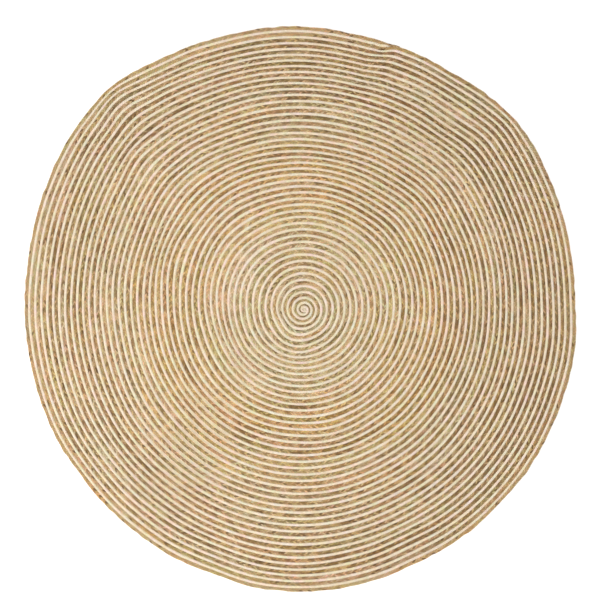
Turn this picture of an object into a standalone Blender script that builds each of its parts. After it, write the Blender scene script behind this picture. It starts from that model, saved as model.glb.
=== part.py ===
"""A round rug of two braids, about 2.4 m across, lying flat with its eye at the origin and +Z up.

A jute plait and a thinner cotton braid are wound side by side from the eye, clockwise as seen
from above, and sewn flat. Each braid is one solid strip that follows the whole winding. Places
along the winding are counted in turns of the cotton braid, and bearings are in degrees,
counter-clockwise from +X.
"""

import math

import bmesh
import bpy
from mathutils import Vector

MM = 0.001

# The two braids. The jute has a flat crown, and the cotton comes up to a ridge.
COTTON_WIDTH = 11.6 * MM
COTTON_HEIGHT = 7.2 * MM
JUTE_HEIGHT = 8.0 * MM
JUTE_CHAMFER = 2.6 * MM
SEAM_GAP = 0.3 * MM

# The winding. Each turn of both braids takes one pitch. The first turns lie round a core, and
# the last ones are wound a little tighter.
PITCH = 26.64 * MM
CENTRE_START = 0.8 * MM
CORE_SWELL = 20.0 * MM
CORE_TURNS = 2.2
TIGHT_FROM_TURN = 38.0
TIGHT_TURNS = 7.0
TIGHTENING = 2.5 * MM
START_BEARING = 268.0
RIM_RADIUS = 1209.0 * MM

# Both braids begin at FIRST_TURN, against the core, and end at LAST_TURN, at the rim.
STEPS_PER_TURN = 32
FIRST_TURN = -1.0
LAST_TURN = 45 + 18 / STEPS_PER_TURN
JUTE_SETBACK = 0.004
TIP_SHARE = 0.15

# Straight steps that one turn is made of, from each turn outwards. Each divides the next.
STEP_TABLE = (
    {"from_turn": -1, "steps": 8},
    {"from_turn": 3, "steps": 16},
    {"from_turn": 12, "steps": STEPS_PER_TURN},
)

# How far the middle of a turn has drifted from the eye, in millimetres.
DRIFT_TABLE = (
    {"turn": 0, "x": -4, "y": -4},
    {"turn": 2, "x": -7, "y": -2},
    {"turn": 6, "x": -8, "y": 6},
    {"turn": 11, "x": -10, "y": 11},
    {"turn": 16, "x": -9, "y": 13},
    {"turn": 22, "x": -10, "y": 11},
    {"turn": 31, "x": -9, "y": 8},
    {"turn": 46, "x": -9, "y": 9},
)

# Where hand winding left the turns out of round. A flaw grows from a radius to the rim, in
# millimetres, and dies away over its half width, in degrees. A sharp one is a corner.
FLAW_TABLE = (
    {"bearing": 133, "half_width": 34, "rise": 40, "from_radius": 300, "sharpness": 1.7},
    {"bearing": 42, "half_width": 20, "rise": 22, "from_radius": 380, "sharpness": 1.5},
    {"bearing": 0, "half_width": 35, "rise": -28, "from_radius": 720, "sharpness": 1.0},
    {"bearing": 188, "half_width": 40, "rise": -19, "from_radius": 120, "sharpness": 1.0},
    {"bearing": 268, "half_width": 36, "rise": 19, "from_radius": 560, "sharpness": 1.0},
    {"bearing": 331, "half_width": 24, "rise": -8, "from_radius": 180, "sharpness": 1.0},
    {"bearing": 76, "half_width": 16, "rise": -6, "from_radius": 650, "sharpness": 1.0},
    {"bearing": 227, "half_width": 18, "rise": -6, "from_radius": 500, "sharpness": 1.0},
    {"bearing": 170, "half_width": 14, "rise": -6, "from_radius": 850, "sharpness": 1.0},
    {"bearing": 217, "half_width": 13, "rise": -7, "from_radius": 1000, "sharpness": 1.0},
    {"bearing": 250, "half_width": 12, "rise": -9, "from_radius": 1050, "sharpness": 1.0},
    {"bearing": 351, "half_width": 13, "rise": 7, "from_radius": 950, "sharpness": 1.0},
)
FLAW_GROWTH = 0.6

# Where a few turns alone are out of round. Such a bump dies away over its half width and, inwards
# and outwards, over its reach in millimetres.
BUMP_TABLE = (
    {"bearing": 208, "half_width": 35, "rise": -7, "radius": 125, "reach": 75},
    {"bearing": 165, "half_width": 50, "rise": -6, "radius": 150, "reach": 110},
    {"bearing": 254, "half_width": 42, "rise": 9, "radius": 170, "reach": 110},
    {"bearing": 128, "half_width": 25, "rise": -9, "radius": 400, "reach": 110},
    {"bearing": 212, "half_width": 48, "rise": -12, "radius": 420, "reach": 130},
    {"bearing": 316, "half_width": 16, "rise": -5, "radius": 440, "reach": 110},
    {"bearing": 15, "half_width": 35, "rise": 6, "radius": 450, "reach": 180},
    {"bearing": 284, "half_width": 20, "rise": 8, "radius": 560, "reach": 110},
    {"bearing": 136, "half_width": 18, "rise": -8, "radius": 570, "reach": 170},
    {"bearing": 160, "half_width": 20, "rise": 12, "radius": 600, "reach": 110},
    {"bearing": 30, "half_width": 30, "rise": 5, "radius": 620, "reach": 130},
    {"bearing": 112, "half_width": 16, "rise": 6, "radius": 620, "reach": 170},
    {"bearing": 216, "half_width": 22, "rise": -5, "radius": 700, "reach": 170},
    {"bearing": 80, "half_width": 28, "rise": -9, "radius": 720, "reach": 190},
    {"bearing": 130, "half_width": 7, "rise": -5, "radius": 790, "reach": 90},
    {"bearing": 172, "half_width": 18, "rise": 5, "radius": 830, "reach": 200},
    {"bearing": 20, "half_width": 26, "rise": 5, "radius": 840, "reach": 170},
    {"bearing": 138, "half_width": 8, "rise": 9, "radius": 930, "reach": 110},
    {"bearing": 105, "half_width": 18, "rise": 7, "radius": 960, "reach": 220},
    {"bearing": 51, "half_width": 8, "rise": -6, "radius": 1010, "reach": 150},
    {"bearing": 68, "half_width": 9, "rise": -5, "radius": 1060, "reach": 90},
    {"bearing": 268, "half_width": 16, "rise": 6, "radius": 1080, "reach": 130},
    {"bearing": 42, "half_width": 6, "rise": 5, "radius": 1110, "reach": 170},
    {"bearing": 294, "half_width": 9, "rise": -6, "radius": 1120, "reach": 120},
    {"bearing": 132, "half_width": 7, "rise": 13, "radius": 1130, "reach": 180},
    {"bearing": 94, "half_width": 19, "rise": 8, "radius": 1190, "reach": 220},
    {"bearing": 57, "half_width": 9, "rise": -4, "radius": 1205, "reach": 60},
    {"bearing": 121, "half_width": 10, "rise": -11, "radius": 1205, "reach": 130},
)

# Just before the outer end the last turns are squeezed in, and past it they step out again.
END_BEARING = 69.5
END_STEP = 6.5
SQUEEZE_BEARING = 85.0
SQUEEZE_FADE = 40.0
SQUEEZE_DEPTH = 23.0 * MM
SQUEEZE_FROM_RADIUS = 900.0 * MM
SQUEEZE_REACH = 300.0 * MM

JUTE_COLOUR = (0.40, 0.27, 0.13, 1.0)
COTTON_COLOUR = (0.80, 0.70, 0.54, 1.0)


def clear_scene():
    for thing in list(bpy.data.objects):
        bpy.data.objects.remove(thing)


def smooth_step(share):
    """0 below 0, 1 above 1, and a smooth rise between."""
    share = min(max(share, 0.0), 1.0)
    return share * share * (3.0 - 2.0 * share)


def bearing_of(turn):
    return (START_BEARING - 360.0 * turn) % 360.0


def drift_at(turn):
    """The middle of this turn, measured from the eye."""
    for inner, outer in zip(DRIFT_TABLE, DRIFT_TABLE[1:]):
        if turn <= outer["turn"]:
            break
    share = (turn - inner["turn"]) / (outer["turn"] - inner["turn"])
    share = min(max(share, 0.0), 1.0)
    start = Vector((inner["x"], inner["y"]))
    end = Vector((outer["x"], outer["y"]))
    return start.lerp(end, share) * MM


def bell(away, reach):
    """1 at no distance, and 0 from the reach outwards."""
    if abs(away) >= reach:
        return 0.0
    return 0.5 + 0.5 * math.cos(math.pi * away / reach)


def bearing_between(first, second):
    return (second - first + 180.0) % 360.0 - 180.0


def flaw_at(flaw, bearing, radius):
    """How far one flaw pushes the winding outwards there."""
    width = bell(bearing_between(flaw["bearing"], bearing), flaw["half_width"])
    start = flaw["from_radius"] * MM
    grown = min(max((radius - start) / (RIM_RADIUS - start), 0.0), 1.0)
    return flaw["rise"] * MM * width ** flaw["sharpness"] * grown**FLAW_GROWTH


def bump_at(bump, bearing, radius):
    """How far one bump pushes the winding outwards there."""
    width = bell(bearing_between(bump["bearing"], bearing), bump["half_width"])
    depth = bell(radius - bump["radius"] * MM, bump["reach"] * MM)
    return bump["rise"] * MM * width * depth


def outer_end_step(bearing):
    """1 just before the outer end of the braids and 0 just past it."""
    return smooth_step((bearing - END_BEARING) / END_STEP)


def squeeze_at(bearing, radius):
    """How far the turns are squeezed in, to make room for the outer end of the braids."""
    if bearing > SQUEEZE_BEARING + SQUEEZE_FADE:
        return 0.0
    reach = smooth_step((radius - SQUEEZE_FROM_RADIUS) / SQUEEZE_REACH)
    fade = 1.0 - smooth_step((bearing - SQUEEZE_BEARING) / SQUEEZE_FADE)
    return SQUEEZE_DEPTH * reach * fade * outer_end_step(bearing)


def round_radius(turn):
    """The radius of the cotton's centre line, if the winding were perfectly round."""
    swell = CORE_SWELL * math.exp(-turn / CORE_TURNS)
    tightened = TIGHTENING * smooth_step((turn - TIGHT_FROM_TURN) / TIGHT_TURNS)
    return CENTRE_START + PITCH * turn + swell - tightened


def cotton_inside(turn):
    return round_radius(turn) - COTTON_WIDTH / 2.0


def end_share(turn):
    """1 along the braids, and less at their outer end, where both are tucked to a tip."""
    if turn < LAST_TURN - 1.0 / STEPS_PER_TURN:
        return 1.0
    step = outer_end_step(bearing_of(turn))
    return TIP_SHARE + (1.0 - TIP_SHARE) * step


def cotton_outside(turn):
    return cotton_inside(turn) + COTTON_WIDTH * end_share(turn)


def jute_outside(turn):
    """The jute reaches from the cotton beside it to the cotton of the next turn."""
    room = cotton_inside(turn + 1.0) - cotton_inside(turn)
    return cotton_inside(turn) + room * end_share(turn)


def placed(turn, radius, height=0.0):
    """A point of the winding: the round winding's radius there, put out of round."""
    bearing = bearing_of(turn)
    bent = radius - squeeze_at(bearing, radius)
    for flaw in FLAW_TABLE:
        bent += flaw_at(flaw, bearing, radius)
    for bump in BUMP_TABLE:
        bent += bump_at(bump, bearing, radius)
    angle = math.radians(bearing)
    middle = drift_at(turn)
    x = middle.x + bent * math.cos(angle)
    y = middle.y + bent * math.sin(angle)
    return Vector((x, y, height))


def steps_at(turn):
    steps = STEP_TABLE[0]["steps"]
    for row in STEP_TABLE:
        if turn >= row["from_turn"]:
            steps = row["steps"]
    return steps


def stations(first, last):
    """The turns from first to last at which the strips bend."""
    found = [first]
    while found[-1] < last:
        found.append(found[-1] + 1.0 / steps_at(found[-1]))
    return found


def add_quads(mesh, first_row, second_row):
    """Joins two rows of points, of the same length, with a strip of four-sided faces."""
    for place in range(len(first_row) - 1):
        corners = (
            first_row[place],
            first_row[place + 1],
            second_row[place + 1],
            second_row[place],
        )
        mesh.faces.new(corners)


def new_material(name, colour, roughness):
    material = bpy.data.materials.new(name)
    material.use_nodes = True
    shader = material.node_tree.nodes["Principled BSDF"]
    shader.inputs["Base Color"].default_value = colour
    shader.inputs["Roughness"].default_value = roughness
    shader.inputs["Metallic"].default_value = 0.0
    return material


def finish_object(name, mesh, material):
    bmesh.ops.recalc_face_normals(mesh, faces=mesh.faces)
    data = bpy.data.meshes.new(name)
    mesh.to_mesh(data)
    mesh.free()
    data.materials.append(material)
    made = bpy.data.objects.new(name, data)
    bpy.context.scene.collection.objects.link(made)
    return made


def build_cotton_braid():
    """A strip with a flat underside and a ridge along its top. Its first turn closes on the core,
    whose flat top ends in a wall that the jute starts from."""
    inner_turns = stations(FIRST_TURN + 1.0, LAST_TURN)
    outer_turns = stations(FIRST_TURN, LAST_TURN)
    half_gap = SEAM_GAP / 2.0
    mesh = bmesh.new()

    inner = [mesh.verts.new(placed(t, cotton_inside(t) + half_gap)) for t in inner_turns]
    outer = [mesh.verts.new(placed(t, cotton_outside(t) - half_gap)) for t in outer_turns]
    ridge = []
    for turn in outer_turns:
        if turn < inner_turns[0]:
            middle = cotton_outside(turn) - COTTON_WIDTH / 2.0
        else:
            middle = (cotton_inside(turn) + cotton_outside(turn)) / 2.0
        ridge.append(mesh.verts.new(placed(turn, middle, COTTON_HEIGHT)))

    core_steps = len(outer_turns) - len(inner_turns)
    mesh.faces.new(inner + outer[::-1])
    add_quads(mesh, outer, ridge)
    add_quads(mesh, inner, ridge[core_steps:])
    mesh.faces.new(ridge[: core_steps + 1])
    mesh.faces.new((ridge[0], ridge[core_steps], inner[0], outer[0]))
    mesh.faces.new((inner[-1], outer[-1], ridge[-1]))
    return finish_object("cotton_braid", mesh, new_material("cotton", COTTON_COLOUR, 0.9))


def build_jute_plait():
    """A strip with a flat underside, sloped sides and a flat crown.

    Its outer edge meets the next turn of the cotton, so that edge is counted by that turn.
    """
    inner_turns = stations(FIRST_TURN, LAST_TURN)
    outer_turns = stations(FIRST_TURN + 1.0, LAST_TURN + 1.0)
    inner_turns[0] += JUTE_SETBACK
    outer_turns[0] += JUTE_SETBACK
    half_gap = SEAM_GAP / 2.0
    mesh = bmesh.new()

    low_inner = []
    top_inner = []
    for turn in inner_turns:
        radius = cotton_outside(turn) + half_gap
        chamfer = min(JUTE_CHAMFER, (jute_outside(turn) - radius) / 3.0)
        low_inner.append(mesh.verts.new(placed(turn, radius)))
        top_inner.append(mesh.verts.new(placed(turn, radius + chamfer, JUTE_HEIGHT)))

    low_outer = []
    top_outer = []
    for turn in outer_turns:
        radius = jute_outside(turn - 1.0) - half_gap
        chamfer = min(JUTE_CHAMFER, (radius - cotton_outside(turn - 1.0)) / 3.0)
        low_outer.append(mesh.verts.new(placed(turn, radius)))
        top_outer.append(mesh.verts.new(placed(turn, radius - chamfer, JUTE_HEIGHT)))

    mesh.faces.new(low_inner + low_outer[::-1])
    mesh.faces.new(top_inner + top_outer[::-1])
    add_quads(mesh, low_inner, top_inner)
    add_quads(mesh, low_outer, top_outer)
    mesh.faces.new((low_inner[0], low_outer[0], top_outer[0], top_inner[0]))
    mesh.faces.new((low_inner[-1], low_outer[-1], top_outer[-1], top_inner[-1]))
    return finish_object("jute_plait", mesh, new_material("jute", JUTE_COLOUR, 0.85))


clear_scene()
build_cotton_braid()
build_jute_plait()
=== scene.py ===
"""The dressed round rug: the two plaited braids of the frame, with their lobes, yarns and colours.

Each braid follows the winding of its CAD strip, from the eye outwards and clockwise as seen from
above. A braid is made of stations, two to a lobe of the plait. At one station a lobe of the left
half is at its crest, and at the next a lobe of the right half. Places along the winding are
counted in turns of the cotton braid, and bearings are in degrees, counter-clockwise from +X.
"""

import math

import bpy
import numpy as np
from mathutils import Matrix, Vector


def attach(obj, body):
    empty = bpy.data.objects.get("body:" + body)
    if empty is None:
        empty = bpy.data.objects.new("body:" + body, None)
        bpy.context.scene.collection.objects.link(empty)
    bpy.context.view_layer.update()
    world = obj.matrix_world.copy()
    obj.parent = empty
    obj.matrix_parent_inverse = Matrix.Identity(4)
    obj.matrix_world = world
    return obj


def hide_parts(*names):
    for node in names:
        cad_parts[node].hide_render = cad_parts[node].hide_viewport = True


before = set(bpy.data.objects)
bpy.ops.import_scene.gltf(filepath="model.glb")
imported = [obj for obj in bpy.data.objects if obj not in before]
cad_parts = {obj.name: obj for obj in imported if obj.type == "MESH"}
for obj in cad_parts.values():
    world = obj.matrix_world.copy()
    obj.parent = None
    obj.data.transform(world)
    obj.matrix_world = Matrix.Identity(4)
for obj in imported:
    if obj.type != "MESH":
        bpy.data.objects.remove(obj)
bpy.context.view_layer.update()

MM = 0.001

# ---------------------------------------------------------------- the winding, as in the CAD
# The last five rows of BUMP_TABLE, the tuck and the braids' tips are this scene's own.
COTTON_WIDTH = 11.6 * MM
SEAM_GAP = 0.3 * MM
PITCH = 26.64 * MM
CENTRE_START = 0.8 * MM
CORE_SWELL = 20.0 * MM
CORE_TURNS = 2.2
TIGHT_FROM_TURN = 38.0
TIGHT_TURNS = 7.0
TIGHTENING = 2.5 * MM
START_BEARING = 268.0
RIM_RADIUS = 1209.0 * MM

# How far the middle of a turn has drifted from the eye, in millimetres.
DRIFT_TABLE = (
    {"turn": 0, "x": -4, "y": -4},
    {"turn": 2, "x": -7, "y": -2},
    {"turn": 6, "x": -8, "y": 6},
    {"turn": 11, "x": -10, "y": 11},
    {"turn": 16, "x": -9, "y": 13},
    {"turn": 22, "x": -10, "y": 11},
    {"turn": 31, "x": -9, "y": 8},
    {"turn": 46, "x": -9, "y": 9},
)

# Where hand winding left the turns out of round. A flaw grows from a radius to the rim, in
# millimetres, and dies away over its half width, in degrees. A sharp one is a corner.
FLAW_TABLE = (
    {"bearing": 133, "half_width": 34, "rise": 40, "from_radius": 300, "sharpness": 1.7},
    {"bearing": 42, "half_width": 20, "rise": 22, "from_radius": 380, "sharpness": 1.5},
    {"bearing": 0, "half_width": 35, "rise": -28, "from_radius": 720, "sharpness": 1.0},
    {"bearing": 188, "half_width": 40, "rise": -19, "from_radius": 120, "sharpness": 1.0},
    {"bearing": 268, "half_width": 36, "rise": 19, "from_radius": 560, "sharpness": 1.0},
    {"bearing": 331, "half_width": 24, "rise": -8, "from_radius": 180, "sharpness": 1.0},
    {"bearing": 76, "half_width": 16, "rise": -6, "from_radius": 650, "sharpness": 1.0},
    {"bearing": 227, "half_width": 18, "rise": -6, "from_radius": 500, "sharpness": 1.0},
    {"bearing": 170, "half_width": 14, "rise": -6, "from_radius": 850, "sharpness": 1.0},
    {"bearing": 217, "half_width": 13, "rise": -7, "from_radius": 1000, "sharpness": 1.0},
    {"bearing": 250, "half_width": 12, "rise": -9, "from_radius": 1050, "sharpness": 1.0},
    {"bearing": 351, "half_width": 13, "rise": 7, "from_radius": 950, "sharpness": 1.0},
)
FLAW_GROWTH = 0.6

# Where a few turns alone are out of round. Such a bump dies away over its half width and, inwards
# and outwards, over its reach in millimetres.
BUMP_TABLE = (
    {"bearing": 208, "half_width": 35, "rise": -7, "radius": 125, "reach": 75},
    {"bearing": 165, "half_width": 50, "rise": -6, "radius": 150, "reach": 110},
    {"bearing": 254, "half_width": 42, "rise": 9, "radius": 170, "reach": 110},
    {"bearing": 128, "half_width": 25, "rise": -9, "radius": 400, "reach": 110},
    {"bearing": 212, "half_width": 48, "rise": -12, "radius": 420, "reach": 130},
    {"bearing": 316, "half_width": 16, "rise": -5, "radius": 440, "reach": 110},
    {"bearing": 15, "half_width": 35, "rise": 6, "radius": 450, "reach": 180},
    {"bearing": 284, "half_width": 20, "rise": 8, "radius": 560, "reach": 110},
    {"bearing": 136, "half_width": 18, "rise": -8, "radius": 570, "reach": 170},
    {"bearing": 160, "half_width": 20, "rise": 12, "radius": 600, "reach": 110},
    {"bearing": 30, "half_width": 30, "rise": 5, "radius": 620, "reach": 130},
    {"bearing": 112, "half_width": 16, "rise": 6, "radius": 620, "reach": 170},
    {"bearing": 216, "half_width": 22, "rise": -5, "radius": 700, "reach": 170},
    {"bearing": 80, "half_width": 28, "rise": -9, "radius": 720, "reach": 190},
    {"bearing": 130, "half_width": 7, "rise": -5, "radius": 790, "reach": 90},
    {"bearing": 172, "half_width": 18, "rise": 5, "radius": 830, "reach": 200},
    {"bearing": 20, "half_width": 26, "rise": 5, "radius": 840, "reach": 170},
    {"bearing": 138, "half_width": 8, "rise": 9, "radius": 930, "reach": 110},
    {"bearing": 105, "half_width": 18, "rise": 7, "radius": 960, "reach": 220},
    {"bearing": 51, "half_width": 8, "rise": -6, "radius": 1010, "reach": 150},
    {"bearing": 68, "half_width": 9, "rise": -5, "radius": 1060, "reach": 90},
    {"bearing": 268, "half_width": 16, "rise": 6, "radius": 1080, "reach": 130},
    {"bearing": 42, "half_width": 6, "rise": 5, "radius": 1110, "reach": 170},
    {"bearing": 294, "half_width": 9, "rise": -6, "radius": 1120, "reach": 120},
    {"bearing": 132, "half_width": 7, "rise": 13, "radius": 1130, "reach": 180},
    {"bearing": 94, "half_width": 19, "rise": 8, "radius": 1190, "reach": 220},
    {"bearing": 57, "half_width": 9, "rise": -4, "radius": 1205, "reach": 60},
    {"bearing": 121, "half_width": 10, "rise": -11, "radius": 1205, "reach": 130},
    # At the very rim:
    {"bearing": 135, "half_width": 14, "rise": -9, "radius": 1240, "reach": 80},
    {"bearing": 43, "half_width": 10, "rise": -7, "radius": 1240, "reach": 80},
    {"bearing": 315, "half_width": 10, "rise": -6, "radius": 1240, "reach": 80},
    {"bearing": 293, "half_width": 6, "rise": -5, "radius": 1240, "reach": 80},
    {"bearing": 245, "half_width": 6, "rise": 6, "radius": 1240, "reach": 60},
)

# Just before the outer end the last turns are squeezed in, and past it they step out again.
END_BEARING = 69.5
END_STEP = 6.5
SQUEEZE_BEARING = 85.0
SQUEEZE_FADE = 40.0
SQUEEZE_DEPTH = 23.0 * MM
SQUEEZE_FROM_RADIUS = 900.0 * MM
SQUEEZE_REACH = 300.0 * MM

# Right at the outer end the last turn is tucked in deeper, and the jute there keeps a share more
# of its width. The cotton stops first, and each braid thins to the share of its tip.
TUCK_BEARING = 72.7
TUCK_HALF_WIDTH = 2.7
TUCK_DEPTH = 10.0 * MM
TUCK_RADIUS = 1203.0 * MM
TUCK_REACH = 60.0 * MM
TUCK_SHARE = 0.14
COTTON_END_BEARING = 71.3
COTTON_END_STEP = 1.2
COTTON_TIP_SHARE = 0.10
TIP_SHARE = 0.10
TIP_TURNS = 1.0 / 16.0

# The braids run from the eye, where the cotton's own tail makes the core, to the outer end. The
# jute is set back a little from the tail.
TAIL_TURN = -1.86
FIRST_TURN = -1.0
LAST_TURN = 45.0 + (START_BEARING - END_BEARING) / 360.0
COTTON_LAST_TURN = 45.0 + (START_BEARING - COTTON_END_BEARING) / 360.0
TAIL_INNER_RADIUS = 0.5 * MM
TAIL_FADE_TURNS = 0.07
JUTE_SETBACK = 0.004

# ---------------------------------------------------------------- the plaits
# A ring of points goes round a braid: these on its left half, the middle of its top, and the same
# on its right half. Across is a share of half the braid's width, and heights are in millimetres.
JUTE_RING = (
    {"across": 0.66, "pinched": 0.64, "crest": 0.0, "dip": 0.5},
    {"across": 0.99, "pinched": 0.96, "crest": 5.0, "dip": 4.8},
    {"across": 0.84, "pinched": 0.80, "crest": 6.9, "dip": 6.3},
    {"across": 0.48, "pinched": 0.46, "crest": 7.9, "dip": 7.2},
)
COTTON_RING = (
    {"across": 0.62, "pinched": 0.60, "crest": 0.0, "dip": 0.4},
    {"across": 0.99, "pinched": 0.965, "crest": 5.4, "dip": 5.2},
    {"across": 0.66, "pinched": 0.64, "crest": 7.3, "dip": 6.9},
)

# A station is half a lobe long. A lobe leans ahead by the slant, from the edge of the braid to its
# middle, and its crest may be lower by up to the uneven share. The width is the sheet's.
JUTE = {
    "name": "jute",
    "ring": JUTE_RING,
    "middle": 7.0,
    "station": 6.3 * MM,
    "slant": 9.5 * MM,
    "uneven": 0.55,
    "width": 14.7 * MM,
}
COTTON = {
    "name": "cotton",
    "ring": COTTON_RING,
    "middle": 7.0,
    "station": 5.3 * MM,
    "slant": 5.6 * MM,
    "uneven": 0.35,
    "width": 11.3 * MM,
}

# A braid's half width differs a little from station to station, and stays inside the seams. At
# the ends of a braid the slant fades out.
WIDTH_UNEVEN = 0.012
WIDEST_SHARE = 0.995
SLANT_FADE = 25.0 * MM

# A braid is cut into sections after a multiple of these stations, a whole number of the plait's
# repeats, so that its strands run on from one section to the next.
SECTIONS = 6
SECTION_STEP = 12

# The middle line of a braid is measured in this many steps a turn, each with a least length, since
# it hardly moves where it turns on the spot in the eye.
DENSE_PER_TURN = 256
LEAST_PER_TURN = 60.0 * MM

# The seams wander a little once they are past the eye, from one random number to the next. The
# numbers reach from before the core to past the rim. The free edge of the last turn wanders more,
# over shorter lengths.
SEAM_WANDER = 0.45 * MM
SEAM_SPACING = 70.0 * MM
SEAM_FIRST_TURN = -2.0
SEAM_TURNS = 49.0
SEAM_STEADY_TURN = 1.0
SEAM_SETTLE_TURNS = 2.0
RIM_WANDER = 2.3 * MM
RIM_SPACING = 32.0 * MM
RIM_VALUES = 300
RIM_SETTLE_SPACINGS = 3.0
SEED = 11

# The map for baking has its rows one above the other, each with a margin. Its top row is for the
# flat ends.
BAKE_ROWS = 27
BAKE_MARGIN = 0.06
BAKE_SIDE = 0.004
BAKE_END_U = (0.1, 0.2)
BAKE_END_DROP = 0.4
BAKE_END_RISE = 0.1


def smooth_step(share):
    """0 below 0, 1 above 1, and a smooth rise between."""
    share = np.clip(share, 0.0, 1.0)
    return share * share * (3.0 - 2.0 * share)


def bell(away, reach):
    """1 at no distance, and 0 from the reach outwards."""
    return 0.5 + 0.5 * np.cos(np.pi * np.minimum(np.abs(away) / reach, 1.0))


def bearing_of(turn):
    """The bearing of a place on the winding, from 0 to 360."""
    return (START_BEARING - 360.0 * turn) % 360.0


def bearing_between(first, second):
    """How far round from the first bearing the second is, from -180 to 180."""
    return (second - first + 180.0) % 360.0 - 180.0


def flaw_at(flaw, bearing, radius):
    """How far one flaw pushes the winding outwards there."""
    width = bell(bearing_between(flaw["bearing"], bearing), flaw["half_width"])
    start = flaw["from_radius"] * MM
    grown = np.clip((radius - start) / (RIM_RADIUS - start), 0.0, 1.0)
    return flaw["rise"] * MM * width ** flaw["sharpness"] * grown**FLAW_GROWTH


def bump_at(bump, bearing, radius):
    """How far one bump pushes the winding outwards there."""
    width = bell(bearing_between(bump["bearing"], bearing), bump["half_width"])
    depth = bell(radius - bump["radius"] * MM, bump["reach"] * MM)
    return bump["rise"] * MM * width * depth


def outer_end_step(bearing):
    """1 just before the outer end of the braids and 0 just past it."""
    return smooth_step((bearing - END_BEARING) / END_STEP)


def tuck_at(bearing):
    """How deep the last turn is tucked in, beyond the squeeze."""
    return TUCK_DEPTH * bell(bearing_between(TUCK_BEARING, bearing), TUCK_HALF_WIDTH)


def squeeze_at(bearing, radius):
    """How far the turns are squeezed in, to make room for the outer end of the braids."""
    reach = smooth_step((radius - SQUEEZE_FROM_RADIUS) / SQUEEZE_REACH)
    fade = 1.0 - smooth_step((bearing - SQUEEZE_BEARING) / SQUEEZE_FADE)
    tuck = tuck_at(bearing) * bell(radius - TUCK_RADIUS, TUCK_REACH)
    return SQUEEZE_DEPTH * reach * fade * outer_end_step(bearing) + tuck


def round_radius(turn):
    """The radius of the cotton's centre line, if the winding were perfectly round."""
    swell = CORE_SWELL * np.exp(-turn / CORE_TURNS)
    tightened = TIGHTENING * smooth_step((turn - TIGHT_FROM_TURN) / TIGHT_TURNS)
    return CENTRE_START + PITCH * turn + swell - tightened


def cotton_inside(turn):
    return round_radius(turn) - COTTON_WIDTH / 2.0


def end_share(turn):
    """1 along the braids, and less at their outer end, where both are tucked to a tip."""
    bearing = bearing_of(turn)
    tuck = TUCK_SHARE * bell(bearing_between(TUCK_BEARING, bearing), TUCK_HALF_WIDTH)
    share = TIP_SHARE + (1.0 - TIP_SHARE) * outer_end_step(bearing) + tuck
    return np.where(turn < LAST_TURN - TIP_TURNS, 1.0, np.minimum(share, 1.0))


def cotton_outside(turn):
    """The cotton keeps its width up to its end, which the jute lies round."""
    step = smooth_step((bearing_of(turn) - COTTON_END_BEARING) / COTTON_END_STEP)
    share = COTTON_TIP_SHARE + (1.0 - COTTON_TIP_SHARE) * step
    share = np.where(turn < LAST_TURN - TIP_TURNS, 1.0, share)
    return cotton_inside(turn) + COTTON_WIDTH * share


def closing(turn):
    """How far the jute closes on the turn inside it, past the cotton's end."""
    step = smooth_step(2.0 * (COTTON_END_BEARING - bearing_of(turn)) / COTTON_END_STEP)
    step = np.where(turn < LAST_TURN - TIP_TURNS, 0.0, step)
    return COTTON_TIP_SHARE * COTTON_WIDTH * step


def jute_outside(turn):
    """The jute reaches from the cotton beside it to the cotton of the next turn."""
    room = cotton_inside(turn + 1.0) - cotton_inside(turn)
    return cotton_inside(turn) + room * end_share(turn)


def placed(turn, radius):
    """x and y of a point of the winding: the round winding's radius there, put out of round."""
    bearing = bearing_of(turn)
    bent = radius - squeeze_at(bearing, radius)
    for flaw in FLAW_TABLE:
        bent = bent + flaw_at(flaw, bearing, radius)
    for bump in BUMP_TABLE:
        bent = bent + bump_at(bump, bearing, radius)
    turns = [row["turn"] for row in DRIFT_TABLE]
    middle_x = np.interp(turn, turns, [row["x"] * MM for row in DRIFT_TABLE])
    middle_y = np.interp(turn, turns, [row["y"] * MM for row in DRIFT_TABLE])
    angle = np.radians(bearing)
    return np.stack([middle_x + bent * np.cos(angle), middle_y + bent * np.sin(angle)], axis=-1)


def wander_values(seed):
    """Random numbers from -1 to 1, one for each seam spacing along the winding."""
    count = int(math.pi * PITCH * SEAM_TURNS**2 / SEAM_SPACING) + 2
    return np.random.default_rng(seed).uniform(-1.0, 1.0, count)


inner_seam = wander_values(SEED)
outer_seam = wander_values(SEED + 1)
rim_values = np.random.default_rng(SEED + 4).uniform(-1.0, 1.0, RIM_VALUES)


def between_values(values, place):
    """The value at a place counted in values, with a smooth change from each to the next."""
    low = np.minimum(place.astype(int), len(values) - 2)
    share = smooth_step(place - low)
    return values[low] * (1.0 - share) + values[low + 1] * share


def wander(turn, values):
    """How far a seam wanders sideways there."""
    place = np.maximum(math.pi * PITCH * (turn - SEAM_FIRST_TURN) ** 2 / SEAM_SPACING, 0.0)
    settled = smooth_step((turn - SEAM_STEADY_TURN) / SEAM_SETTLE_TURNS)
    return SEAM_WANDER * settled * between_values(values, place)


def rim_wander(turn):
    """How far the free edge of the last turn wanders in and out."""
    place = np.maximum(turn - LAST_TURN + 1.0, 0.0) * math.tau * RIM_RADIUS / RIM_SPACING
    free = smooth_step(place / RIM_SETTLE_SPACINGS) * end_share(turn)
    return RIM_WANDER * free * between_values(rim_values, place)


def jute_edges(turn):
    """The two edges of the jute there: on the cotton beside it, and on the next turn's cotton."""
    low = cotton_outside(turn) - closing(turn) + SEAM_GAP / 2.0 + wander(turn, outer_seam)
    high = jute_outside(turn) - SEAM_GAP / 2.0 + wander(turn + 1.0, inner_seam)
    high = high + rim_wander(turn)
    return placed(turn, low), placed(turn + 1.0, high)


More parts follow.
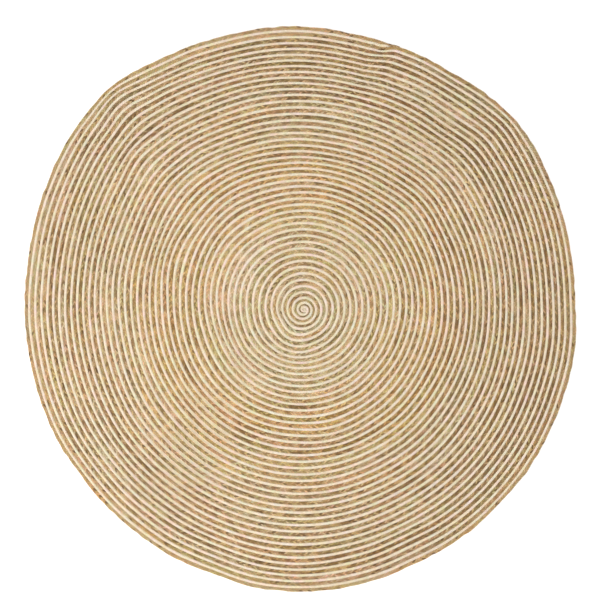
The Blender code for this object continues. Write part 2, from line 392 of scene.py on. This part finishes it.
def cotton_edges(turn):
    """The two edges of the cotton there. Its tail winds round the middle of the eye."""
    low = cotton_inside(turn) + SEAM_GAP / 2.0 + wander(turn, inner_seam)
    high = cotton_outside(turn) - SEAM_GAP / 2.0 + wander(turn, outer_seam)
    tail_high = cotton_inside(turn + 1.0) - SEAM_GAP / 2.0
    tail = 1.0 - smooth_step((turn - FIRST_TURN + TAIL_FADE_TURNS) / TAIL_FADE_TURNS)
    low = np.maximum(low, TAIL_INNER_RADIUS)
    high = high * (1.0 - tail) + tail_high * tail
    return placed(turn, low), placed(turn, high)


def strip_stations(edges, first, last, station):
    """The length along a strip, the turn at each length, and the number of stations."""
    turns = np.linspace(first, last, int((last - first) * DENSE_PER_TURN) + 1)
    low, high = edges(turns)
    middle = (low + high) / 2.0
    moved = np.linalg.norm(np.diff(middle, axis=0), axis=1)
    moved = np.hypot(moved, LEAST_PER_TURN * np.diff(turns))
    lengths = np.concatenate([[0.0], np.cumsum(moved)])
    count = int(round(lengths[-1] / station / 2.0)) * 2 + 1
    return lengths, turns, count


def braid_points(braid, edges, first, last, seed):
    """Every point of a braid, as rings of points, with what its material needs to know."""
    lengths, turns, count = strip_stations(edges, first, last, braid["station"])
    rows = braid["ring"]
    half = len(rows)
    columns = 2 * half + 1
    total = lengths[-1]
    place = np.linspace(0.0, total, count)
    even = (np.arange(count) % 2 == 0).astype(float)
    draws = np.random.default_rng(seed)
    lobes = 1.0 - braid["uneven"] * draws.uniform(0.0, 1.0, (count, 2)) ** 2
    widths = draws.uniform(-WIDTH_UNEVEN, WIDTH_UNEVEN, (count, 2))
    steady = np.minimum(place, total - place) / SLANT_FADE
    slant = braid["slant"] * smooth_step(steady)

    points = np.zeros((count, columns, 3))
    across = np.zeros((count, columns))
    along = np.zeros((count, columns))
    for column in range(columns):
        if column == half:
            share = np.zeros(count)
            height = np.full(count, braid["middle"])
        else:
            side = 0 if column < half else 1
            row = rows[column] if side == 0 else rows[columns - 1 - column]
            crest = even if side == 0 else 1.0 - even
            crest = crest * lobes[:, side]
            share = row["pinched"] + (row["across"] - row["pinched"]) * crest
            share = np.minimum(share + widths[:, side], WIDEST_SHARE)
            share = share * (-1.0 if side == 0 else 1.0)
            height = row["dip"] + (row["crest"] - row["dip"]) * crest
        ahead = slant * (1.0 - np.abs(share))
        length = np.clip(place + ahead - slant / 2.0, 0.0, total)
        turn = np.interp(length, lengths, turns)
        low, high = edges(turn)
        weight = (0.5 + 0.5 * share)[:, None]
        points[:, column, :2] = low * (1.0 - weight) + high * weight
        points[:, column, 2] = height * MM
        across[:, column] = share
        along[:, column] = length
    return points, across, along


def ring_shares(points):
    """Where each point of a ring lies round it, from 0 to 1, the underside last."""
    middle = points[len(points) // 2]
    sides = np.linalg.norm(np.diff(middle, axis=0), axis=1)
    underside = np.linalg.norm(middle[0] - middle[-1])
    return np.concatenate([[0.0], np.cumsum(sides)]) / (sides.sum() + underside)


def add_layer(mesh, name, values):
    """Gives each point of the mesh a value that its material reads by this name."""
    layer = mesh.attributes.new(name, "FLOAT", "POINT")
    layer.data.foreach_set("value", values.astype(np.float32).ravel())


def build_section(name, points, across, along, number, material):
    """One closed length of a braid, with flat ends."""
    count, columns = across.shape
    ring = np.arange(columns)
    after = (ring + 1) % columns
    start = (np.arange(count - 1) * columns)[:, None]
    quads = np.stack(
        [start + ring, start + after, start + columns + after, start + columns + ring], axis=-1
    ).reshape(-1, 4)

    half = columns // 2
    caps = []
    for base, turned in ((0, False), ((count - 1) * columns, True)):
        for step in range(half - 1):
            left, right = base + step, base + columns - 1 - step
            cap = [left, left + 1, right - 1, right]
            caps.append(cap if turned else cap[::-1])
        cap = [base + half - 1, base + half, base + half + 1]
        caps.append(cap if turned else cap[::-1])

    # The faces look outwards.
    flat_points = points.reshape(-1, 3)
    corners = flat_points[quads[0]]
    normal = np.cross(corners[1] - corners[0], corners[3] - corners[0])
    if np.dot(normal, corners.mean(axis=0) - points[0].mean(axis=0)) < 0.0:
        quads = quads[:, ::-1]
        caps = [cap[::-1] for cap in caps]

    loops = np.concatenate([quads.ravel(), np.concatenate([np.array(cap) for cap in caps])])
    sizes = np.concatenate([np.full(len(quads), 4), np.array([len(cap) for cap in caps])])
    starts = np.concatenate([[0], np.cumsum(sizes)[:-1]])

    mesh = bpy.data.meshes.new(name)
    mesh.vertices.add(len(flat_points))
    mesh.vertices.foreach_set("co", flat_points.astype(np.float32).ravel())
    mesh.loops.add(len(loops))
    mesh.loops.foreach_set("vertex_index", loops.astype(np.int32))
    mesh.polygons.add(len(sizes))
    mesh.polygons.foreach_set("loop_start", starts.astype(np.int32))
    mesh.update(calc_edges=True)

    # The flat ends are shaded flat, and the rest smooth.
    sharp = mesh.attributes.new("sharp_face", "BOOLEAN", "FACE")
    sharp.data.foreach_set("value", np.arange(len(sizes)) >= len(quads))

    stations = np.repeat(np.arange(count), columns)
    add_layer(mesh, "across", across)
    add_layer(mesh, "lobe", stations / 2.0)
    add_layer(mesh, "run", along)
    add_layer(mesh, "part", np.full(len(flat_points), float(number)))
    add_bake_map(mesh, loops, len(quads), count, columns, ring_shares(points))

    mesh.materials.append(material)
    mesh.validate()
    made = bpy.data.objects.new(name, mesh)
    bpy.context.scene.collection.objects.link(made)
    return made


def add_bake_map(mesh, loops, quad_count, count, columns, shares):
    """Unrolls the section into rows that lie one above the other."""
    per_row = math.ceil((count - 1) / BAKE_ROWS)
    face_station = np.repeat(np.arange(count - 1), columns)
    face_ring = np.tile(np.arange(columns), count - 1)
    row = face_station // per_row
    quad_loops = loops[: quad_count * 4].reshape(-1, 4)
    station = quad_loops // columns
    ring = quad_loops % columns
    u = (station - (row * per_row)[:, None]) / per_row
    v = shares[ring]
    round_again = (face_ring == columns - 1)[:, None] & (ring == 0)
    v = np.where(round_again, 1.0, v)
    v = (row[:, None] + BAKE_MARGIN + (1.0 - 2.0 * BAKE_MARGIN) * v) / (BAKE_ROWS + 1)
    u = BAKE_SIDE + (1.0 - 2.0 * BAKE_SIDE) * u
    end_count = len(loops) - quad_count * 4
    rise = BAKE_END_RISE * np.arange(end_count) / end_count / BAKE_ROWS
    values = np.empty((len(loops), 2))
    values[: quad_count * 4, 0] = u.ravel()
    values[: quad_count * 4, 1] = v.ravel()
    values[quad_count * 4 :, 0] = np.tile(BAKE_END_U, end_count)[:end_count]
    values[quad_count * 4 :, 1] = 1.0 - BAKE_END_DROP / (BAKE_ROWS + 1) + rise
    layer = mesh.uv_layers.new(name="OFBake")
    layer.data.foreach_set("uv", values.astype(np.float32).ravel())


# ---------------------------------------------------------------- materials
# Colours are linear. A ramp is a list of places from 0 to 1, each with its colour, and a ramp of
# tints multiplies the colour under it. A reach is where a change starts and ends: in metres along
# the braid's run, from its inner end, unless its comment says otherwise.

# The border between the halves of a plait sways by a share of half its width. Its strands have
# their noise in rows that lie apart, and each section shifts its lobes' numbers by so much more.
LOBE_SWAY = 0.16
STRANDS = 3.0
STRAND_SPACING = 7.0
SECTION_SHIFT = 900.0

# Large patches of the rug are a little darker or paler: the painted shade and light of shallow
# waves, on a rug that is modelled flat.
PAINTED_WAVE_SCALE = 3.2
PAINTED_WAVE_SHADE_TINTS = ((0.30, (0.93, 0.93, 0.93)), (0.70, (1.06, 1.06, 1.06)))

JUTE_SHADES = (
    (0.24, (0.178, 0.104, 0.040)),
    (0.46, (0.298, 0.191, 0.082)),
    (0.63, (0.424, 0.292, 0.142)),
    (0.83, (0.548, 0.397, 0.212)),
    (1.00, (0.608, 0.462, 0.268)),
)

# The jute's mixed noise is spread about its middle by the contrast, and moved to the light's.
JUTE_MIXED_MIDDLE = 0.60
JUTE_LIGHT_MIDDLE = 0.572
JUTE_CONTRAST = 0.82
JUTE_OUTER_CONTRAST = 0.06

# The scales of a braid's blotches are for its run, across and the lobes' order. Those of its
# fibres are for the place off the lobe's middle line, across and the order.
JUTE_BLOTCH_SCALES = (1.0 / (6.0 * MM), 2.2, 5.3)
JUTE_FIBRE_SCALES = (17.0, 1.5, 3.7)
COTTON_FIBRE_SCALES = (12.0, 1.2, 2.9)

# Where the jute changes. The stretch's reach is of its noise, and the rightward one is in metres
# across the rug, from its right to its left, with a share of how far up a place is.
JUTE_STRETCH_REACH = (0.68, 0.56)
JUTE_OUTER_REACH = (60.0, 105.0)
JUTE_EYE_REACH = (40.0, 10.0)
JUTE_INNER_REACH = (112.0, 84.0)
# Painted shade: the jute darkens towards the right of the rug, as the light from the left falls
# off.
JUTE_PAINTED_SHADE_RIGHTWARD_REACH = (1.15, -1.15)
RIGHTWARD_RISE = 0.15
JUTE_FIRST_TURN_REACH = (1.2, 0.3)
JUTE_FIRST_TURN_LIGHT = -0.10
JUTE_RIM_REACH = (158.0, 172.0)
JUTE_RIM_SHARE = 0.65
JUTE_RIM_LIGHT = 0.68
JUTE_RED_REACH = (1.0, 38.0)
JUTE_GREEN_REACH = (40.0, 75.0)
JUTE_GOLD_REACH = (10.0, 26.0)
JUTE_GREY_REACH = (46.0, 82.0)
JUTE_RED_TINTS = ((0.11, (0.82, 1.12, 1.05)), (1.00, (1.18, 0.87, 0.88)))
JUTE_GOLD_TINTS = ((0.12, (1.0, 1.0, 1.50)), (1.00, (1.0, 1.0, 0.57)))

# A few lobes are dark. These reaches are of each lobe's random number from 0 to 1.
DARK_LOBE_REACH = (0.85, 0.94)
DARK_LOBE_SHARE = 0.36
DARKEST_LOBE_REACH = (0.950, 0.965)
DARKEST_LOBE_SHARE = 0.48
DARK_LOBE_INNER = 0.70
DARK_LOBE_OUTER = 0.30
DARK_LOBE_COLOUR = (0.105, 0.054, 0.018)

# The painted shade in the groove where two lobes meet has its reach in lobes from a lobe's middle
# line. The tints across a braid are placed by how far from its middle they are, as a share of half
# its width.
JUTE_STREAK_TINTS = ((0.25, (0.66, 0.64, 0.60)), (0.75, (1.30, 1.28, 1.25)))
JUTE_STREAK_SHARE = 0.75
JUTE_PAINTED_SHADE_REACH = (0.36, 0.50)
JUTE_PAINTED_SHADE_SHARE = 0.66
JUTE_PAINTED_SHADE_COLOUR = (0.070, 0.036, 0.013)
# Across the jute the middle is darker, and the edges get painted light against the shade in the
# seams.
JUTE_MIDDLE_AND_PAINTED_EDGE_LIGHT_TINTS = (
    (0.15, (0.88, 0.88, 0.86)),
    (0.60, (1.07, 1.07, 1.05)),
    (1.00, (1.42, 1.40, 1.30)),
)
JUTE_ROUGHNESS = ((0.3, (0.78, 0.78, 0.78)), (0.7, (0.95, 0.95, 0.95)))

COTTON_SHADES = ((0.1, (0.565, 0.473, 0.342)), (0.9, (0.726, 0.628, 0.489)))
COTTON_PINK_TINTS = ((0.05, (0.91, 1.07, 1.00)), (0.95, (1.09, 0.91, 0.98)))
COTTON_GOLD_TINTS = ((0.05, (1.0, 1.0, 1.21)), (0.95, (1.0, 1.0, 0.79)))
COTTON_STREAK_TINTS = ((0.3, (0.88, 0.87, 0.85)), (0.7, (1.08, 1.08, 1.08)))
COTTON_STREAK_SHARE = 0.7
# The cotton has painted shade too, in the groove where two lobes meet.
COTTON_PAINTED_SHADE_REACH = (0.40, 0.50)
COTTON_PAINTED_SHADE_SHARE = 0.35
COTTON_PAINTED_SHADE_COLOUR = (0.400, 0.300, 0.200)
# Painted light: the cotton's edges are paler, against the shade in the seams.
COTTON_PAINTED_EDGE_LIGHT_TINTS = ((0.45, (1.0, 1.0, 1.0)), (1.0, (1.24, 1.22, 1.18)))


class Graph:
    """The nodes of one material."""

    def __init__(self, name):
        self.material = bpy.data.materials.new(name)
        self.material.use_nodes = True
        self.tree = self.material.node_tree
        self.shader = self.tree.nodes["Principled BSDF"]

    def put(self, socket, value):
        """Links another node's output to the socket, or gives it a constant."""
        if isinstance(value, bpy.types.NodeSocket):
            self.tree.links.new(value, socket)
        else:
            socket.default_value = value

    def set_shader(self, name, value):
        self.put(self.shader.inputs[name], value)

    def layer(self, name):
        node = self.tree.nodes.new("ShaderNodeAttribute")
        node.attribute_name = name
        return node.outputs["Fac"]

    def place(self):
        """Where a point of the rug is, in metres."""
        return self.tree.nodes.new("ShaderNodeTexCoord").outputs["Object"]

    def calc(self, operation, *values):
        node = self.tree.nodes.new("ShaderNodeMath")
        node.operation = operation
        for socket, value in zip(node.inputs, values):
            self.put(socket, value)
        return node.outputs[0]

    def vector(self, x, y, z=0.0):
        node = self.tree.nodes.new("ShaderNodeCombineXYZ")
        for socket, value in zip(node.inputs, (x, y, z)):
            self.put(socket, value)
        return node.outputs[0]

    def scaled(self, *pairs):
        """The vector of each value times the number beside it."""
        return self.vector(*(self.calc("MULTIPLY", value, number) for value, number in pairs))

    def noise(self, vector, scale=1.0, detail=2.0, roughness=0.5):
        node = self.tree.nodes.new("ShaderNodeTexNoise")
        self.put(node.inputs["Vector"], vector)
        node.inputs["Scale"].default_value = scale
        node.inputs["Detail"].default_value = detail
        node.inputs["Roughness"].default_value = roughness
        return node.outputs["Fac"]

    def dice(self, vector):
        """A random number from 0 to 1 for each value of the vector."""
        node = self.tree.nodes.new("ShaderNodeTexWhiteNoise")
        node.noise_dimensions = "3D"
        self.put(node.inputs["Vector"], vector)
        return node.outputs["Value"]

    def level(self, value, low, high):
        """0 at low, 1 at high, and a smooth change between."""
        node = self.tree.nodes.new("ShaderNodeMapRange")
        node.interpolation_type = "SMOOTHSTEP"
        self.put(node.inputs["Value"], value)
        node.inputs["From Min"].default_value = low
        node.inputs["From Max"].default_value = high
        return node.outputs["Result"]

    def blend(self, *parts):
        """Adds to a half what each value, by its weight, is above or below a half."""
        total = 0.5
        for value, weight in parts:
            total = self.calc("MULTIPLY_ADD", self.calc("SUBTRACT", value, 0.5), weight, total)
        return total

    def ramp(self, value, stops):
        node = self.tree.nodes.new("ShaderNodeValToRGB")
        self.put(node.inputs["Fac"], value)
        elements = node.color_ramp.elements
        for place, colour in stops[2:]:
            elements.new(place)
        for element, (place, colour) in zip(elements, stops):
            element.position = place
        for element, (place, colour) in zip(elements, stops):
            element.color = (*colour, 1.0)
        return node.outputs["Color"]

    def mix(self, share, first, second, kind="MIX"):
        node = self.tree.nodes.new("ShaderNodeMix")
        node.data_type = "RGBA"
        node.blend_type = kind
        self.put(node.inputs["Factor"], share)
        for name, value in (("A", first), ("B", second)):
            socket = [s for s in node.inputs if s.name == name and s.type == "RGBA"][0]
            if isinstance(value, tuple):
                value = (*value, 1.0)
            self.put(socket, value)
        return [s for s in node.outputs if s.type == "RGBA"][0]

    def tint(self, colour, value, tints, share=1.0):
        """The colour times the tint that the ramp of tints has at the value."""
        return self.mix(share, colour, self.ramp(value, tints), "MULTIPLY")

    def bump(self, height, depth, normal=None):
        """A bump whose height is in the unit that depth gives, in metres."""
        node = self.tree.nodes.new("ShaderNodeBump")
        node.inputs["Strength"].default_value = 1.0
        node.inputs["Distance"].default_value = depth
        self.put(node.inputs["Height"], height)
        if normal is not None:
            self.put(node.inputs["Normal"], normal)
        return node.outputs["Normal"]


class BraidGraph(Graph):
    """The nodes of one braid's material, and where on the braid a point is.

    across is its place across the braid, from -1 to 1, and run is that along it, in metres. off
    is its place from the middle line of its lobe, in lobes, and far is the same without a sign.
    order counts the lobes of both halves within a section, and number is the same with a shift for
    each section, so that no two sections begin alike.
    """

    def __init__(self, name):
        super().__init__(name)
        self.across = self.layer("across")
        self.run = self.layer("run")
        lobe = self.layer("lobe")
        turned = self.calc("COSINE", self.calc("MULTIPLY", lobe, math.tau))
        border = self.calc("MULTIPLY", turned, LOBE_SWAY)
        right = self.calc("GREATER_THAN", self.across, border)
        own = self.calc("MULTIPLY_ADD", right, 0.5, lobe)
        nearest = self.calc("ROUND", own)
        self.off = self.calc("SUBTRACT", own, nearest)
        self.far = self.calc("ABSOLUTE", self.off)
        self.order = self.calc("SUBTRACT", self.calc("MULTIPLY", nearest, 2.0), right)
        section = self.calc("MULTIPLY", self.layer("part"), SECTION_SHIFT)
        self.number = self.calc("ADD", section, self.order)

    def strand(self):
        """Which of the plait's strands the lobe is a part of: 0, 1 or 2."""
        return self.calc("FLOORED_MODULO", self.order, STRANDS)

    def lobe_dice(self, seed):
        """A random number from 0 to 1 for each lobe."""
        return self.dice(self.vector(self.number, seed))

    def drift(self, period, seed, strand=None):
        """Noise along the run, with a period in metres. With the strand, each has its own."""
        row = seed if strand is None else self.calc("MULTIPLY_ADD", strand, STRAND_SPACING, seed)
        return self.noise(self.vector(self.calc("MULTIPLY", self.run, 1.0 / period), row, seed))

    def blotches(self, scales):
        """Noise in blotches about half a lobe long."""
        return self.noise(self.scaled(*zip((self.run, self.across, self.order), scales)))

    def fibres(self, scales):
        """Fine noise that runs along the strand, which crosses the braid at a slant."""
        pairs = zip((self.off, self.across, self.order), scales)
        return self.noise(self.scaled(*pairs), detail=3.0, roughness=0.6)

    def painted_groove_shade(self, colour, reach, share, painted_shade_colour):
        """The colour, darkened by painted shade where two lobes meet."""
        depth = self.calc("MULTIPLY", self.level(self.far, *reach), share)
        return self.mix(depth, colour, painted_shade_colour)

    def relief(self, fibre, power, waves, lobe_depth, yarn_depth, fibre_depth):
        """Bumps: each lobe is rounded, the yarns in it lie side by side, and fibres cover them.

        The higher the power, the flatter a lobe's top. Each wave is two yarns.
        """
        rounded = self.calc("POWER", self.calc("MULTIPLY", self.far, 2.0), power)
        rounded = self.calc("SUBTRACT", 1.0, rounded)
        yarns = self.calc("COSINE", self.calc("MULTIPLY", self.off, math.tau * waves))
        normal = self.bump(rounded, lobe_depth)
        normal = self.bump(self.calc("ABSOLUTE", yarns), yarn_depth, normal)
        normal = self.bump(fibre, fibre_depth, normal)
        self.set_shader("Normal", normal)


def rightward(graph):
    """How far right of the eye, and a little way up, a point is, in metres."""
    parted = graph.tree.nodes.new("ShaderNodeSeparateXYZ")
    graph.put(parted.inputs["Vector"], graph.place())
    return graph.calc("MULTIPLY_ADD", parted.outputs["Y"], RIGHTWARD_RISE, parted.outputs["X"])


def jute_light(graph, strand, outer):
    """How light the jute is: over whole turns, along each strand, lobe by lobe and in blotches."""
    # The last part of the mixture darkens a stretch of the run here and there.
    mixed = graph.blend(
        (graph.drift(1.1, 3.3), 0.62),
        (graph.drift(0.22, 5.1, strand), 0.72),
        (graph.drift(0.045, 8.7, strand), 0.60),
        (graph.lobe_dice(1.0), 0.52),
        (graph.blotches(JUTE_BLOTCH_SCALES), 0.78),
        (graph.level(graph.drift(0.30, 41.0), *JUTE_STRETCH_REACH), 0.22),
    )
    # The outer turns are a little darker and more mixed than those round the eye, and the jute
    # at the right has painted shade: it is a little darker than that at the left, as the light
    # from the left falls off.
    light = graph.calc(
        "MULTIPLY_ADD",
        graph.calc("SUBTRACT", mixed, JUTE_MIXED_MIDDLE),
        graph.calc("MULTIPLY_ADD", outer, JUTE_OUTER_CONTRAST, JUTE_CONTRAST),
        JUTE_LIGHT_MIDDLE,
    )
    light = graph.blend(
        (light, 1.0),
        (graph.level(graph.run, *JUTE_EYE_REACH), 0.10),
        (graph.level(graph.run, *JUTE_INNER_REACH), 0.09),
        # Painted shade towards the right.
        (graph.level(rightward(graph), *JUTE_PAINTED_SHADE_RIGHTWARD_REACH), 0.115),
    )
    # The first turn is darker. The last one, along the rim, is paler and more even.
    first_turn = graph.level(graph.run, *JUTE_FIRST_TURN_REACH)
    light = graph.calc("MULTIPLY_ADD", first_turn, JUTE_FIRST_TURN_LIGHT, light)
    rim = graph.calc("MULTIPLY", graph.level(graph.run, *JUTE_RIM_REACH), JUTE_RIM_SHARE)
    return graph.calc("MULTIPLY_ADD", rim, graph.calc("SUBTRACT", JUTE_RIM_LIGHT, light), light)


def jute_material():
    graph = BraidGraph("jute_plait_fibre")
    strand = graph.strand()
    outer = graph.level(graph.run, *JUTE_OUTER_REACH)
    colour = graph.ramp(jute_light(graph, strand, outer), JUTE_SHADES)
    red = graph.blend(
        (graph.drift(0.8, 13.0), 1.0),
        (graph.drift(0.16, 17.0, strand), 1.2),
        (graph.drift(0.035, 19.0, strand), 1.1),
        (graph.level(graph.run, *JUTE_RED_REACH), 0.17),
        (graph.level(graph.run, *JUTE_GREEN_REACH), -0.09),
    )
    colour = graph.tint(colour, red, JUTE_RED_TINTS)
    gold = graph.blend(
        (graph.drift(0.9, 23.0), 1.0),
        (graph.drift(0.18, 29.0, strand), 1.1),
        (graph.drift(0.035, 31.0, strand), 1.1),
        (graph.level(graph.run, *JUTE_GOLD_REACH), 0.14),
        (graph.level(graph.run, *JUTE_GREY_REACH), -0.13),
    )
    colour = graph.tint(colour, gold, JUTE_GOLD_TINTS)

    # A few lobes are dark, and less so round the eye.
    chance = graph.lobe_dice(2.0)
    darkest = graph.calc("MULTIPLY", graph.level(chance, *DARKEST_LOBE_REACH), DARKEST_LOBE_SHARE)
    dark = graph.level(chance, *DARK_LOBE_REACH)
    dark = graph.calc("MULTIPLY_ADD", dark, DARK_LOBE_SHARE, darkest)
    outwards = graph.calc("MULTIPLY_ADD", outer, DARK_LOBE_OUTER, DARK_LOBE_INNER)
    colour = graph.mix(graph.calc("MULTIPLY", dark, outwards), colour, DARK_LOBE_COLOUR)

    fibre = graph.fibres(JUTE_FIBRE_SCALES)
    colour = graph.tint(colour, fibre, JUTE_STREAK_TINTS, JUTE_STREAK_SHARE)
    # Painted shade in the groove where two lobes meet.
    colour = graph.painted_groove_shade(colour, JUTE_PAINTED_SHADE_REACH, JUTE_PAINTED_SHADE_SHARE, JUTE_PAINTED_SHADE_COLOUR)

    # The middle, where the strands cross and are handled most, is darker than the edges, and the
    # edges get painted light that offsets the shade in the seams beside them.
    colour = graph.tint(colour, graph.calc("ABSOLUTE", graph.across), JUTE_MIDDLE_AND_PAINTED_EDGE_LIGHT_TINTS)
    # Painted shade and light of shallow waves, in large patches.
    painted_wave_shade = graph.noise(graph.place(), scale=PAINTED_WAVE_SCALE, detail=1.0)
    graph.set_shader("Base Color", graph.tint(colour, painted_wave_shade, PAINTED_WAVE_SHADE_TINTS))
    graph.relief(
        fibre,
        power=2.6,
        waves=2.0,
        lobe_depth=1.5 * MM,
        yarn_depth=0.30 * MM,
        fibre_depth=0.55 * MM,
    )
    graph.set_shader("Roughness", graph.ramp(fibre, JUTE_ROUGHNESS))
    graph.set_shader("Specular IOR Level", 0.25)
    graph.set_shader("Metallic", 0.0)
    return graph.material


def cotton_material():
    graph = BraidGraph("cotton_braid_yarn")
    light = graph.blend(
        (graph.drift(0.9, 43.0), 0.5),
        (graph.drift(0.06, 47.0), 0.65),
        (graph.lobe_dice(3.0), 0.50),
    )
    colour = graph.ramp(light, COTTON_SHADES)
    pink = graph.blend((graph.drift(0.45, 53.0), 0.8), (graph.drift(0.05, 59.0), 1.7))
    colour = graph.tint(colour, pink, COTTON_PINK_TINTS)
    gold = graph.blend((graph.drift(0.55, 61.0), 0.8), (graph.drift(0.05, 67.0), 1.7))
    colour = graph.tint(colour, gold, COTTON_GOLD_TINTS)

    fibre = graph.fibres(COTTON_FIBRE_SCALES)
    colour = graph.tint(colour, fibre, COTTON_STREAK_TINTS, COTTON_STREAK_SHARE)
    # Painted shade in the groove where two lobes meet.
    colour = graph.painted_groove_shade(colour, COTTON_PAINTED_SHADE_REACH, COTTON_PAINTED_SHADE_SHARE, COTTON_PAINTED_SHADE_COLOUR)

    # Its edges are palest: painted light that offsets the shade in the seams beside them.
    colour = graph.tint(colour, graph.calc("ABSOLUTE", graph.across), COTTON_PAINTED_EDGE_LIGHT_TINTS)
    graph.set_shader("Base Color", colour)
    graph.relief(
        fibre,
        power=2.4,
        waves=1.5,
        lobe_depth=1.1 * MM,
        yarn_depth=0.22 * MM,
        fibre_depth=0.25 * MM,
    )
    graph.set_shader("Roughness", 0.88)
    graph.set_shader("Specular IOR Level", 0.3)
    graph.set_shader("Sheen Weight", 0.12)
    graph.set_shader("Metallic", 0.0)
    return graph.material


def build_braid(braid, edges, first, last, node, material, seed):
    """A whole braid, as sections that each stay a handy size."""
    points, across, along = braid_points(braid, edges, first, last, seed)
    last_station = len(points) - 1
    cuts = [
        round(last_station * part / SECTIONS / SECTION_STEP) * SECTION_STEP
        for part in range(SECTIONS)
    ] + [last_station]
    for number, (start, end) in enumerate(zip(cuts, cuts[1:]), 1):
        part = slice(start, end + 1)
        name = f"{braid['name']}_section_{number}"
        piece = build_section(name, points[part], across[part], along[part], number, material)
        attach(piece, "root")
        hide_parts(node)


build_braid(
    JUTE,
    jute_edges,
    FIRST_TURN + JUTE_SETBACK,
    LAST_TURN,
    "jute_plait",
    jute_material(),
    SEED + 2,
)
build_braid(
    COTTON,
    cotton_edges,
    TAIL_TURN,
    COTTON_LAST_TURN,
    "cotton_braid",
    cotton_material(),
    SEED + 3,
)


# ---------------------------------------------------------------- floor, light and camera
# The floor lies a little under the rug, so that the two surfaces never coincide.
FLOOR_HALF_SIDE = 30.0
FLOOR_DROP = 0.4 * MM
FLOOR_WHITE = (0.93, 0.93, 0.93, 1.0)
WORLD_WHITE = (1.0, 1.0, 1.0, 1.0)
WORLD_STRENGTH = 1.3
LAMP = {"place": (-3.8, -2.5, 3.0), "aim": (-0.3, -0.2, 0.0), "size": 2.5, "power": 128.0}

# The camera looks straight down. The photo's middle is a little off the eye.
PHOTO_PIXELS = 600.0
EYE_PIXEL = (304.6, 308.8)
PIXEL_SIZE = 4.34 * MM
LENS = 100.0
SENSOR = 36.0
FARTHEST = 100.0


def build_floor():
    mesh = bpy.data.meshes.new("floor")
    side = FLOOR_HALF_SIDE
    corners = [(-side, -side, 0.0), (side, -side, 0.0), (side, side, 0.0), (-side, side, 0.0)]
    mesh.from_pydata(corners, [], [(0, 1, 2, 3)])
    floor = bpy.data.objects.new("floor", mesh)
    floor.location.z = -FLOOR_DROP
    bpy.context.scene.collection.objects.link(floor)
    graph = Graph("floor_white")
    graph.set_shader("Base Color", FLOOR_WHITE)
    graph.set_shader("Roughness", 0.9)
    graph.set_shader("Specular IOR Level", 0.0)
    mesh.materials.append(graph.material)


def add_area_light(name, place, aim, size, power):
    """A round soft lamp, with its places and size in metres and its power in watts."""
    light = bpy.data.lights.new(name, "AREA")
    light.shape = "DISK"
    light.size = size
    light.energy = power
    lamp = bpy.data.objects.new(name, light)
    lamp.location = place
    direction = Vector(aim) - Vector(place)
    lamp.rotation_euler = direction.to_track_quat("-Z", "Y").to_euler()
    bpy.context.scene.collection.objects.link(lamp)


def set_world():
    world = bpy.data.worlds.new("studio")
    world.use_nodes = True
    background = world.node_tree.nodes["Background"]
    background.inputs["Color"].default_value = WORLD_WHITE
    background.inputs["Strength"].default_value = WORLD_STRENGTH
    bpy.context.scene.world = world


def add_camera():
    camera = bpy.data.cameras.new("camera")
    camera.lens = LENS
    camera.sensor_width = SENSOR
    camera.sensor_fit = "HORIZONTAL"
    camera.clip_end = FARTHEST
    across = (PHOTO_PIXELS / 2.0 - EYE_PIXEL[0]) * PIXEL_SIZE
    up = (EYE_PIXEL[1] - PHOTO_PIXELS / 2.0) * PIXEL_SIZE
    height = PHOTO_PIXELS * PIXEL_SIZE * LENS / SENSOR
    seat = bpy.data.objects.new("camera", camera)
    seat.location = (across, up, height)
    seat.rotation_euler = (0.0, 0.0, 0.0)
    bpy.context.scene.collection.objects.link(seat)
    bpy.context.scene.camera = seat


build_floor()
set_world()
add_area_light("left_soft", **LAMP)
add_camera()
bpy.context.scene.view_settings.view_transform = "Standard"
bpy.context.scene.view_settings.look = "None"
